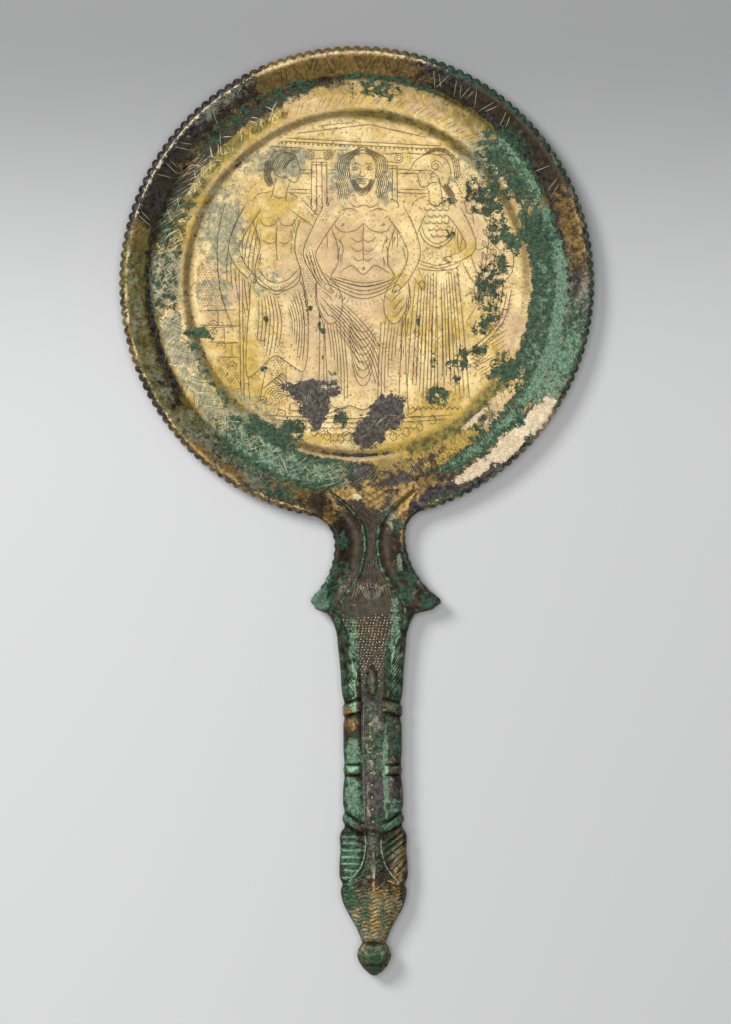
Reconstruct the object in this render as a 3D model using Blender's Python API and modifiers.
"""Cast bronze hand mirror, lying on its reflecting side with the engraved back up.

The mirror is one casting: a round dish with a raised, beaded rim, and a flat, carved handle that
leaves the rim off centre and ends in a knob. Lengths are in metres. +Y points from the handle to the
disc, +Z out of the engraved back, and the origin is under the middle of the whole length.
"""
import math

import bmesh
import bpy

# Disc, turned about its own axis. Widths run outwards from the middle of the engraved field.
FIELD_RADIUS = 0.0553
STEP_WIDTH = 0.0032
BORDER_WIDTH = 0.0095
COVE_WIDTH = 0.0014
WALL_WIDTH = 0.0072
LIP_WIDTH = 0.0006
EDGE_WIDTH = 0.0009
BEAD_PROUD = 0.0012

# Heights of the same steps, measured up from the plate's own back.
PLATE_THICKNESS = 0.0019
STEP_RISE = 0.0008
COVE_RISE = 0.0006
WALL_RISE = 0.0031
EDGE_DROP = 0.0010
BEAD_HEIGHT = 0.0022

# The reflecting side bows down to a small flat, on which the disc rests.
BOW_HEIGHT = 0.0025
REST_RADIUS = 0.016
FOOT_WIDTH = 0.0035
BEAD_COUNT = 152

# Handle, from the rim's lowest point to the end of the knob.
HANDLE_LENGTH = 0.1515
HANDLE_OFFSET = 0.0048
HANDLE_LEAN = math.radians(0.44)
GRIP_WIDTH = 0.0195
GRIP_THICKNESS = 0.0084
NECK_THICKNESS = 0.0054
HEAD_THINNING = 0.6
KNOB_WIDTH = 0.0113
KNOB_THICKNESS = 0.0106
KNOB_FLAT_RADIUS = 0.0012
PANEL_DEPTH = 0.0008
RIDGE_DROP = 0.0016
FLANGE_HOLLOW = 0.0010
ROD_SHARE = 0.22
COLLAR_PROUD = 0.0005
FLUTE_DEPTH = 0.0006
FLUTE_COUNT = 8
RIB_DEPTH = 0.7 * FLUTE_DEPTH

# Roundness of the handle's section: two is an ellipse, and more has fuller shoulders.
UNDER_NECK_POWER = 5.0
GRIP_POWER = 3.0
HEAD_POWER = 2.4

# The carving tool: its height over the rim, the gap under that height beyond the neck, the spare width
# outside the neck, its lift at the outer edge, and the step between its panel floor and its flanks.
TOOL_ABOVE = 0.004
TOOL_CLEAR = 0.001
TOOL_SPARE = 0.0005
TOOL_EDGE_LIFT = 0.0004
TOOL_STEP = 0.00002
TOOL_END_GAP = 0.0005
TOOL_NECK_STEPS = 22
TOOL_STRIP_STEPS = 30
TOOL_STRIP_START = 0.27
TOOL_BLEND_AT = 0.24
TOOL_BORDER_SHARE = 0.3
TOOL_SHARES = (0.0, 0.12, 0.3, 0.5, 0.7, 0.9, 1.0)

# Tolerances, in metres, and the least step between two sections, as a share of the handle's length.
WELD_GAP = 0.00001
JOIN_GAP = 0.000005
RIM_GAP = 0.00002
SECTION_GAP = 0.003

# Where the disc's curved steps have a middle corner, from the small flat out.
BOW_CORNER = 0.6

# The neck's hollow runs over this share of its width, and the rise to its edge between the other two.
HOLLOW_SHARE = 0.85
EDGE_RISE = (0.2, 0.95)

# Shares of a section's half width at which it has corners, on the front beyond the panel and underneath.
FRONT_SHARES = (0.0, 0.1, 0.25, 0.42, 0.6, 0.78, 0.92)
UNDER_SHARES = (0.95, 0.75, 0.4)
GROUND_LIMIT = 0.96
INSIDE_EDGE = 0.9999
KNOB_REST_SHARE = 0.99
EDGE_SHARE = 0.1
LEAF_EDGE = 0.25
RIB_SPAN = 0.03
FILLET_STEPS = 6
FLARE_STEPS = 8

# Places along the handle, as shares of its length from the rim.
ROOT_START = -0.083
PANEL_WAIST_AT = 0.052
PANEL_ENDS = (-0.07, 0.03)
STRIP_BLEND = (0.10, 0.23)
STRIP_LEVEL_AT = 0.48
VEINS_END = 0.37
BARB_TIP_AT = 0.170
BARB_END_AT = 0.193
UPPER_LEAF_AT = 0.206
COLLARS_AT = ((0.401, 0.432), (0.536, 0.558), (0.639, 0.670))
LOWER_LEAF_AT = (0.674, 0.797)
HEAD_AT = 0.802
KNOB_AT = 0.927

# The neck's outline, left and right: a fillet out of the rim, a waist, and a flare out to the barb.
FILLET_RADII = (0.0100, 0.0085)
FLARE_RADII = (0.0239, 0.0253)
WAISTS = (0.0120, 0.0113)
BARB_END_DROPS = (0.0012, 0.0021)
FILLET_INSET = 0.0011

# Half width of the handle below the barbs: place along it, share of half the grip's width.
OUTLINE = (
    (0.206, 1.47), (0.221, 1.34), (0.240, 1.23), (0.277, 1.16), (0.330, 1.08), (0.383, 1.02),
    (0.401, 0.97), (0.409, 1.02), (0.424, 1.02), (0.432, 0.96), (0.449, 1.00), (0.502, 1.00),
    (0.536, 0.97), (0.547, 1.01), (0.558, 0.97), (0.581, 1.01), (0.620, 1.03), (0.639, 0.98),
    (0.654, 1.05), (0.670, 0.99), (0.683, 1.10), (0.726, 1.13), (0.759, 1.17), (0.786, 1.15),
    (0.799, 1.08), (0.812, 1.13), (0.825, 1.11), (0.845, 1.02), (0.871, 0.81), (0.898, 0.58),
    (0.927, 0.40),
)

# Half width and half thickness of the knob: share of its length, share of its greatest size.
KNOB = (
    (0.0, 0.69), (0.10, 0.82), (0.21, 0.94), (0.37, 1.0), (0.50, 0.95), (0.62, 0.84), (0.79, 0.60),
    (0.92, 0.32), (1.0, 0.10),
)

# Half width of the sunk panel, an hourglass through the neck and a narrowing strip down the handle,
# as a share of half the grip's width.
PANEL = (
    (-0.070, 1.50), (-0.047, 0.99), (-0.019, 0.54), (0.010, 0.26), (0.045, 0.18), (0.080, 0.23),
    (0.118, 0.41), (0.151, 0.74), (0.182, 1.06), (0.195, 1.10), (0.211, 1.05), (0.251, 0.80),
    (0.297, 0.54), (0.330, 0.43), (0.350, 0.39), (0.401, 0.39), (0.655, 0.39), (0.690, 0.34),
    (0.742, 0.09),
)

# Half width of the low ground between the two lower leaves, as a share of half the grip's width.
LEAF_GROUND = ((0.674, 0.26), (0.733, 0.27), (0.766, 0.46), (0.792, 0.82))

MID_HEIGHT = KNOB_THICKNESS / 2
RIM_RADIUS = FIELD_RADIUS + STEP_WIDTH + BORDER_WIDTH + COVE_WIDTH + WALL_WIDTH + LIP_WIDTH + EDGE_WIDTH
DISC_RADIUS = RIM_RADIUS + BEAD_PROUD
COVE_RADIUS = FIELD_RADIUS + STEP_WIDTH + BORDER_WIDTH + COVE_WIDTH
DISC_Y = HANDLE_LENGTH / 2
RIM_BOTTOM_Y = DISC_Y - DISC_RADIUS
FOOT_RADIUS = RIM_RADIUS - FOOT_WIDTH
PLATE_EDGE_RADIUS = FIELD_RADIUS + STEP_WIDTH + BORDER_WIDTH
HALF_GRIP = GRIP_WIDTH / 2


def bow(radius):
    """Height of the reflecting side above the table."""
    if radius <= REST_RADIUS:
        return 0.0
    return BOW_HEIGHT * (radius ** 2 - REST_RADIUS ** 2) / (FOOT_RADIUS ** 2 - REST_RADIUS ** 2)


BORDER_HEIGHT = bow(PLATE_EDGE_RADIUS) + PLATE_THICKNESS + STEP_RISE
LIP_HEIGHT = BORDER_HEIGHT + COVE_RISE + WALL_RISE


def fillet_place(side):
    """Where a fillet leaves the rim and where it ends at the waist, and its reach where it leaves."""
    axis = (-HANDLE_OFFSET, HANDLE_OFFSET)[side]
    rim = DISC_RADIUS - FILLET_INSET
    across = WAISTS[side] + FILLET_RADII[side] + axis
    down = math.sqrt((rim + FILLET_RADII[side]) ** 2 - across ** 2)
    waist_at = (down - DISC_RADIUS) / HANDLE_LENGTH
    turn = rim / (rim + FILLET_RADII[side])
    return (down * turn - DISC_RADIUS) / HANDLE_LENGTH, waist_at, across * turn - axis


def clear_scene():
    for old in list(bpy.data.objects):
        bpy.data.objects.remove(old)


def new_collection(name):
    collection = bpy.data.collections.new(name)
    bpy.context.scene.collection.children.link(collection)
    return collection


def bronze():
    material = bpy.data.materials.new("patinated_bronze")
    material.use_nodes = True
    shader = material.node_tree.nodes["Principled BSDF"]
    shader.inputs["Base Color"].default_value = (0.55, 0.44, 0.22, 1.0)
    shader.inputs["Metallic"].default_value = 0.8
    shader.inputs["Roughness"].default_value = 0.42
    return material


def smooth(low, high, value):
    """0 below low, 1 above high, and an even S-shaped rise between."""
    share = min(1.0, max(0.0, (value - low) / (high - low)))
    return share * share * (3 - 2 * share)


def along(table, place):
    """The table's value at a place, read on straight lines between its points."""
    if place <= table[0][0]:
        return table[0][1]
    for (start, first), (end, last) in zip(table, table[1:]):
        if place <= end:
            return first + (last - first) * (place - start) / (end - start)
    return table[-1][1]


def curve_along(table, place):
    """The table's value at a place, read on a smooth curve through its points."""
    if not table[0][0] < place < table[-1][0]:
        return along(table, place)
    i = max(k for k in range(len(table) - 1) if table[k][0] <= place)
    points = [table[max(0, i - 1)], table[i], table[i + 1], table[min(len(table) - 1, i + 2)]]
    (p0, v0), (p1, v1), (p2, v2), (p3, v3) = points
    span = p2 - p1
    first = (v2 - v0) / (p2 - p0) * span
    last = (v3 - v1) / (p3 - p1) * span
    t = (place - p1) / span
    ends = (2 * t ** 3 - 3 * t ** 2 + 1) * v1 + (3 * t ** 2 - 2 * t ** 3) * v2
    return ends + (t ** 3 - 2 * t ** 2 + t) * first + (t ** 3 - t ** 2) * last


def arc_gap(distance, radius):
    """How far a circular arc leaves its tangent at this distance along it."""
    reach = min(abs(distance), 0.995 * radius)
    return radius - math.sqrt(radius ** 2 - reach ** 2)


# Disc

def disc_profile():
    """Radius and height of each corner of the turned section, from the top's middle round to the rest."""
    points = [(0.0, PLATE_THICKNESS)]
    points.append((REST_RADIUS, PLATE_THICKNESS))
    field_middle = BOW_CORNER * FIELD_RADIUS + (1 - BOW_CORNER) * REST_RADIUS
    points.append((field_middle, bow(field_middle) + PLATE_THICKNESS))
    points.append((FIELD_RADIUS, bow(FIELD_RADIUS) + PLATE_THICKNESS))
    radius = FIELD_RADIUS + STEP_WIDTH
    points.append((radius, bow(radius) + PLATE_THICKNESS + STEP_RISE))
    points.append((PLATE_EDGE_RADIUS, BORDER_HEIGHT))
    radius = PLATE_EDGE_RADIUS + COVE_WIDTH
    height = BORDER_HEIGHT + COVE_RISE
    points.append((radius, height))
    radius += WALL_WIDTH
    points.append((radius, LIP_HEIGHT))
    points.append((radius + LIP_WIDTH, LIP_HEIGHT))
    bead_top = LIP_HEIGHT - EDGE_DROP
    points.append((RIM_RADIUS, bead_top))
    points.append((RIM_RADIUS, bead_top - BEAD_HEIGHT))
    points.append((FOOT_RADIUS, bow(FOOT_RADIUS)))
    shell_middle = BOW_CORNER * FOOT_RADIUS + (1 - BOW_CORNER) * REST_RADIUS
    points.append((shell_middle, bow(shell_middle)))
    points.append((REST_RADIUS, 0.0))
    points.append((0.0, 0.0))
    return points


def turned(name, profile, steps, collection):
    """A mesh object turned from the profile about the Z axis."""
    mesh = bpy.data.meshes.new(name)
    edges = [(i, i + 1) for i in range(len(profile) - 1)]
    mesh.from_pydata([(radius, 0.0, height) for radius, height in profile], edges, [])
    turning = bpy.data.objects.new(name, mesh)
    collection.objects.link(turning)
    screw = turning.modifiers.new("turn", "SCREW")
    screw.axis = "Z"
    screw.steps = steps
    screw.render_steps = steps
    screw.use_merge_vertices = True
    screw.merge_threshold = WELD_GAP
    return turning


def applied(turning):
    """The same object with its modifiers made into its mesh."""
    graph = bpy.context.evaluated_depsgraph_get()
    mesh = bpy.data.meshes.new_from_object(turning.evaluated_get(graph))
    turning.modifiers.clear()
    turning.data = mesh
    return turning


def raise_beads(disc):
    """Pushes the middle of each face of the rim's upright band out into a bead."""
    bm = bmesh.new()
    bm.from_mesh(disc.data)
    bmesh.ops.remove_doubles(bm, verts=bm.verts, dist=JOIN_GAP)
    bm.normal_update()
    band = []
    for face in bm.faces:
        on_rim = all(math.hypot(v.co.x, v.co.y) > RIM_RADIUS - RIM_GAP for v in face.verts)
        if on_rim and abs(face.normal.z) < 0.1:
            band.append(face)
    crests = bmesh.ops.poke(bm, faces=band)["verts"]
    for vert in crests:
        reach = DISC_RADIUS / math.hypot(vert.co.x, vert.co.y)
        vert.co.x *= reach
        vert.co.y *= reach
    bmesh.ops.recalc_face_normals(bm, faces=bm.faces)
    bm.to_mesh(disc.data)
    bm.free()


def make_disc(collection):
    disc = turned("disc_blank", disc_profile(), BEAD_COUNT, collection)
    bpy.context.view_layer.update()
    applied(disc)
    raise_beads(disc)
    disc.location.y = DISC_Y
    return disc


# Handle

def half_width(place, side):
    """Half width of the handle's outline at a place, left (side 0) or right (side 1) of its axis."""
    leave_at, waist_at, leave_width = fillet_place(side)
    waist = WAISTS[side]
    tip = waist + arc_gap((BARB_TIP_AT - waist_at) * HANDLE_LENGTH, FLARE_RADII[side])
    end = tip - BARB_END_DROPS[side]
    if place < leave_at:
        return leave_width
    if place < waist_at:
        return waist + arc_gap((waist_at - place) * HANDLE_LENGTH, FILLET_RADII[side])
    if place < BARB_TIP_AT:
        return waist + arc_gap((place - waist_at) * HANDLE_LENGTH, FLARE_RADII[side])
    if place < BARB_END_AT:
        return tip + (end - tip) * (place - BARB_TIP_AT) / (BARB_END_AT - BARB_TIP_AT)
    if place < UPPER_LEAF_AT:
        low = OUTLINE[0][1] * HALF_GRIP
        return end + (low - end) * (place - BARB_END_AT) / (UPPER_LEAF_AT - BARB_END_AT)
    if place < KNOB_AT:
        return along(OUTLINE, place) * HALF_GRIP
    return along(KNOB, (place - KNOB_AT) / (1.0 - KNOB_AT)) * KNOB_WIDTH / 2


def panel_half_width(place):
    return curve_along(PANEL, place) * HALF_GRIP


def ground_half_width(place):
    """Half width of whatever lies between the leaves or rods: the panel, or the lower leaves' ground."""
    if place < LOWER_LEAF_AT[0]:
        return panel_half_width(place)
    return curve_along(LEAF_GROUND, place) * HALF_GRIP


def half_thickness(place):
    """Half of the handle's thickness on its axis."""
    if place > KNOB_AT:
        return along(KNOB, (place - KNOB_AT) / (1.0 - KNOB_AT)) * KNOB_THICKNESS / 2
    grip = GRIP_THICKNESS / 2
    neck = NECK_THICKNESS / 2
    thick = neck + (grip - neck) * smooth(BARB_TIP_AT - 0.07, UPPER_LEAF_AT + 0.03, place)
    thick *= 1 - (1 - HEAD_THINNING) * smooth(HEAD_AT + 0.02, KNOB_AT, place)
    for start, end in COLLARS_AT:
        middle = 0.5 * (start + end)
        reach = abs(place - middle) / (0.5 * (end - start))
        thick += COLLAR_PROUD * max(0.0, 1.0 - reach ** 2)
    return thick


def crown(share, power):
    """Height of a rounded section, from 1 at its middle to 0 at its edge."""
    return max(0.0, 1.0 - min(1.0, abs(share)) ** power) ** (1.0 / power)


def flange_height(share):
    """Height of the neck's front, hollowed between the panel's ridge and the raised outer edge."""
    rise = smooth(*EDGE_RISE, share)
    hollow = FLANGE_HOLLOW * math.sin(math.pi * min(1.0, share / HOLLOW_SHARE))
    return LIP_HEIGHT - RIDGE_DROP * (1 - rise) - hollow


def flute(place, reach):
    """Depth of the lower leaves' flutes, and of the ground between the leaves."""
    start, end = LOWER_LEAF_AT
    if not start < place < end:
        return 0.0
    turn = (place - start) / (end - start) * FLUTE_COUNT
    valley = 0.5 - 0.5 * math.cos(2 * math.pi * turn)
    leaf = smooth(0.0, LEAF_EDGE, reach)
    return FLUTE_DEPTH * (leaf * valley * math.sin(math.pi * min(1.0, reach)) + (1 - leaf))


def leaf_rib(place, reach):
    """Depth of the upper leaves' long veins."""
    fade = smooth(UPPER_LEAF_AT, UPPER_LEAF_AT + RIB_SPAN, place)
    fade *= 1 - smooth(VEINS_END, COLLARS_AT[0][0], place)
    return RIB_DEPTH * fade * (0.5 - 0.5 * math.cos(4 * math.pi * reach))


def top_height(place, x, side):
    """Height of the handle's front, before the neck and the panel are carved into it."""
    width = half_width(place, side)
    if place > HEAD_AT:
        return MID_HEIGHT + half_thickness(place) * crown(x / width, HEAD_POWER)
    ground = min(ground_half_width(place), GROUND_LIMIT * width)
    reach = max(0.0, (abs(x) - ground) / (width - ground))
    rounding = (1 - ROD_SHARE) * crown(x / width, GRIP_POWER) + ROD_SHARE * crown(2 * reach - 1, 2.0)
    grip = MID_HEIGHT + half_thickness(place) * rounding - flute(place, reach) - leaf_rib(place, reach)
    in_neck = 1 - smooth(BARB_TIP_AT, UPPER_LEAF_AT, place)
    edge = crown(max(0.0, (reach - 1 + EDGE_SHARE) / EDGE_SHARE), 2.0)
    radius = math.hypot(x * (-1, 1)[side] + axis_x(place), DISC_RADIUS + place * HANDLE_LENGTH)
    wall = BORDER_HEIGHT + (LIP_HEIGHT - BORDER_HEIGHT) * (radius - COVE_RADIUS) / WALL_WIDTH
    level = min(LIP_HEIGHT, max(BORDER_HEIGHT, wall)) - EDGE_DROP / 3
    neck = BORDER_HEIGHT - EDGE_DROP + (level - BORDER_HEIGHT + EDGE_DROP) * edge
    return grip + (neck - grip) * in_neck


def under_height(place, x, side):
    """Height of the plain, slightly rounded underside."""
    width = half_width(place, side)
    power = UNDER_NECK_POWER if place < UPPER_LEAF_AT else (GRIP_POWER if place < HEAD_AT else HEAD_POWER)
    at_rest = half_thickness(place) > KNOB_REST_SHARE * KNOB_THICKNESS / 2
    if place > KNOB_AT and at_rest and abs(x) <= KNOB_FLAT_RADIUS:
        return 0.0
    return MID_HEIGHT - half_thickness(place) * crown(x / width, power)


def axis_x(place):
    """Where the handle's axis stands at a place along it."""
    return HANDLE_OFFSET + math.tan(HANDLE_LEAN) * (place - PANEL_WAIST_AT) * HANDLE_LENGTH


def section(place):
    """One closed ring of points across the handle, over the front and back under it."""
    y = RIM_BOTTOM_Y - place * HANDLE_LENGTH
    top = []
    for side in (0, 1):
        width = half_width(place, side)
        ground = min(ground_half_width(place), GROUND_LIMIT * width)
        xs = [0.5 * ground] + [ground + share * (width - ground) for share in FRONT_SHARES]
        half = [(x, top_height(place, x, side)) for x in xs]
        top.append([((-1, 1)[side] * x, z) for x, z in half])
    left_edge = (-half_width(place, 0), 0.5 * (under_height(place, 0, 0) + top_height(place, 0, 0)))
    right_edge = (half_width(place, 1), left_edge[1])
    middle = (0.0, top_height(place, 0.0, 0))
    under = []
    for side in (1, 0):
        width = half_width(place, side)
        shares = UNDER_SHARES + (KNOB_FLAT_RADIUS / width,)
        for share in shares[::(-1, 1)[side]]:
            x = min(share, INSIDE_EDGE) * width
            under.append(((-1, 1)[side] * x, under_height(place, x, side)))
    ring = [left_edge] + top[0][::-1] + [middle] + top[1] + [right_edge] + under
    return [(axis_x(place) + x, y, z) for x, z in ring]


def handle_places():
    """Where the sections stand, closest in the fluted leaves and at the knob."""
    places = [ROOT_START, ROOT_START / 2]
    for side in (0, 1):
        leave_at, waist_at, _ = fillet_place(side)
        places += [leave_at + (waist_at - leave_at) * i / FILLET_STEPS for i in range(FILLET_STEPS + 1)]
        flare = BARB_TIP_AT - waist_at
        places += [waist_at + flare * i / FLARE_STEPS for i in range(1, FLARE_STEPS + 1)]
    places += [0.5 * (BARB_TIP_AT + BARB_END_AT), BARB_END_AT, UPPER_LEAF_AT]
    places += [place for place, _ in OUTLINE[1:] if place < LOWER_LEAF_AT[0]]
    places += [0.5 * (start + end) for start, end in COLLARS_AT]
    start, end = LOWER_LEAF_AT
    steps = 2 * FLUTE_COUNT
    places += [start + (end - start) * i / steps for i in range(steps + 1)]
    places += [place for place, _ in OUTLINE if LOWER_LEAF_AT[1] < place <= KNOB_AT]
    places += [KNOB_AT + (1.0 - KNOB_AT) * share for share, _ in KNOB[1:]]
    kept = []
    for place in sorted(places):
        if not kept or place - kept[-1] > SECTION_GAP:
            kept.append(place)
    return kept


def make_handle(collection):
    """The handle's blank, a loft through its sections."""
    bm = bmesh.new()
    rings = [[bm.verts.new(point) for point in section(place)] for place in handle_places()]
    count = len(rings[0])
    for first, last in zip(rings, rings[1:]):
        for i in range(count):
            j = (i + 1) % count
            bm.faces.new((first[i], first[j], last[j], last[i]))
    bm.faces.new(rings[0])
    bm.faces.new(rings[-1][::-1])
    bmesh.ops.recalc_face_normals(bm, faces=bm.faces)
    mesh = bpy.data.meshes.new("handle_blank")
    bm.to_mesh(mesh)
    bm.free()
    handle = bpy.data.objects.new("handle_blank", mesh)
    collection.objects.link(handle)
    return handle


def panel_floor(place):
    """Height of the sunk panel's floor, from the border's level at the disc to the handle's own front."""
    border = BORDER_HEIGHT + TOOL_BORDER_SHARE * COVE_RISE
    neck = border + (LIP_HEIGHT - RIDGE_DROP - PANEL_DEPTH - border) * smooth(*PANEL_ENDS, place)
    grip = MID_HEIGHT + half_thickness(STRIP_LEVEL_AT) - PANEL_DEPTH
    return neck + (grip - neck) * smooth(*STRIP_BLEND, place)


def carver_section(place):
    """The carving tool's outline across the handle, its floor first."""
    above = LIP_HEIGHT + TOOL_ABOVE
    in_neck = place < BARB_END_AT
    panel = panel_half_width(place)
    floor = []
    for side in (0, 1):
        width = half_width(place, side)
        clear = max(width, panel + TOOL_SPARE)
        points = [(panel, panel_floor(place))]
        for share in TOOL_SHARES:
            height = flange_height(share) + (TOOL_EDGE_LIFT if share == 1.0 else 0.0)
            x = panel + TOOL_STEP + share * (clear - panel)
            points.append((x, height if in_neck else above - TOOL_CLEAR))
        floor.append([((-1, 1)[side] * x, z) for x, z in points])
    corners = [(floor[1][-1][0], above), (floor[0][-1][0], above)]
    return floor[0][::-1] + floor[1] + corners


def make_carver(collection):
    """The tool that hollows the neck and sinks the middle panel through the rim's wall and down the handle."""
    end = PANEL[-1][0]
    neck = BARB_END_AT - TOOL_END_GAP - ROOT_START
    places = [ROOT_START + neck * i / TOOL_NECK_STEPS for i in range(TOOL_NECK_STEPS + 1)]
    places += [BARB_END_AT + TOOL_END_GAP, UPPER_LEAF_AT, TOOL_BLEND_AT]
    strip = end - TOOL_STRIP_START
    places += [TOOL_STRIP_START + strip * i / TOOL_STRIP_STEPS for i in range(TOOL_STRIP_STEPS + 1)]
    bm = bmesh.new()
    rings = []
    for place in places:
        y = RIM_BOTTOM_Y - place * HANDLE_LENGTH
        rings.append([bm.verts.new((axis_x(place) + x, y, z)) for x, z in carver_section(place)])
    count = len(rings[0])
    for first, last in zip(rings, rings[1:]):
        for i in range(count):
            j = (i + 1) % count
            bm.faces.new((first[i], first[j], last[j], last[i]))
    bm.faces.new(rings[0])
    bm.faces.new(rings[-1][::-1])
    bmesh.ops.recalc_face_normals(bm, faces=bm.faces)
    mesh = bpy.data.meshes.new("carver")
    bm.to_mesh(mesh)
    bm.free()
    carver = bpy.data.objects.new("carver", mesh)
    collection.objects.link(carver)
    carver.hide_render = True
    carver.display_type = "WIRE"
    return carver


def main():
    clear_scene()
    parts = new_collection("hand_mirror")
    tools = new_collection("cutters")
    mirror = make_disc(parts)
    mirror.name = "mirror"
    handle = make_handle(tools)
    handle.hide_render = True
    handle.display_type = "WIRE"
    join = mirror.modifiers.new("join_handle", "BOOLEAN")
    join.operation = "UNION"
    join.object = handle
    carve = mirror.modifiers.new("carve_neck", "BOOLEAN")
    carve.operation = "DIFFERENCE"
    carve.object = make_carver(tools)
    mirror.data.materials.append(bronze())


main()
